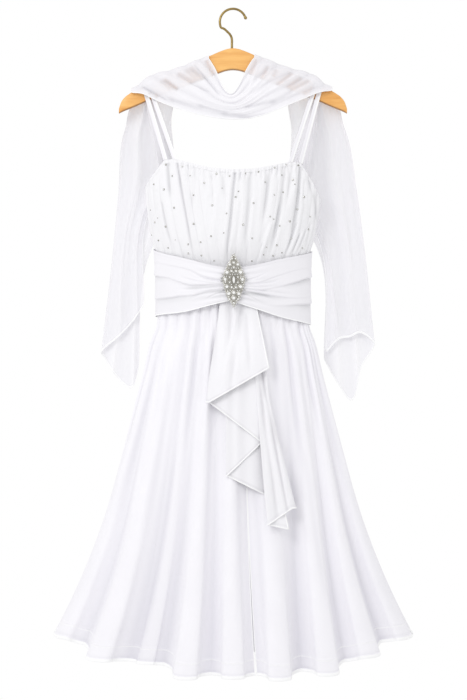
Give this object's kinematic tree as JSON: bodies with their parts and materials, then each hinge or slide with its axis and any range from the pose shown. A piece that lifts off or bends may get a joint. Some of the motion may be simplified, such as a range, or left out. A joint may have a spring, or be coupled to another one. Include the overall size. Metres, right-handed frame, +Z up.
{
  "type": "ball gown on clothes hanger",
  "caption": "Sleeveless tea-length ball gown with thin straps, gathered bodice, pleated sash, brooch, front cascade ruffle, fluted skirt and sheer drape, hung on a wooden hanger.",
  "frame": {"origin": "inner top of the hanger's hook, where the rod that carries it lies", "axes": "+Z up, -Y towards the gown's front, +X towards the viewer's right when the front is seen"},
  "size_m": [0.6802, 0.2821, 1.2495],
  "materials": {
    "white_chiffon": "sheer matt crepe chiffon over a plain underskirt",
    "white_satin": "soft satin",
    "silver_and_stones": "polished, set with clear stones",
    "maple_wood": "satin varnish",
    "brass": "antique, brushed"
  },
  "bodies": {
    "root": {"bodice_front": "white_chiffon", "bodice_back_left": "white_chiffon", "bodice_back_right": "white_chiffon", "strap_left_outer": "white_satin", "strap_left_inner": "white_satin", "strap_right_outer": "white_satin", "strap_right_inner": "white_satin", "sash_front_left": "white_satin", "sash_front_right": "white_satin", "sash_back": "white_satin", "brooch": "silver_and_stones", "cascade": "white_chiffon", "skirt_front_left": "white_chiffon", "skirt_front_right": "white_chiffon", "skirt_back_left": "white_chiffon", "skirt_back_right": "white_chiffon", "drape_cowl": "white_chiffon", "drape_left": "white_chiffon", "drape_right": "white_chiffon", "hanger_bar": "maple_wood", "hanger_hook": "brass"}
  },
  "joints": []
}
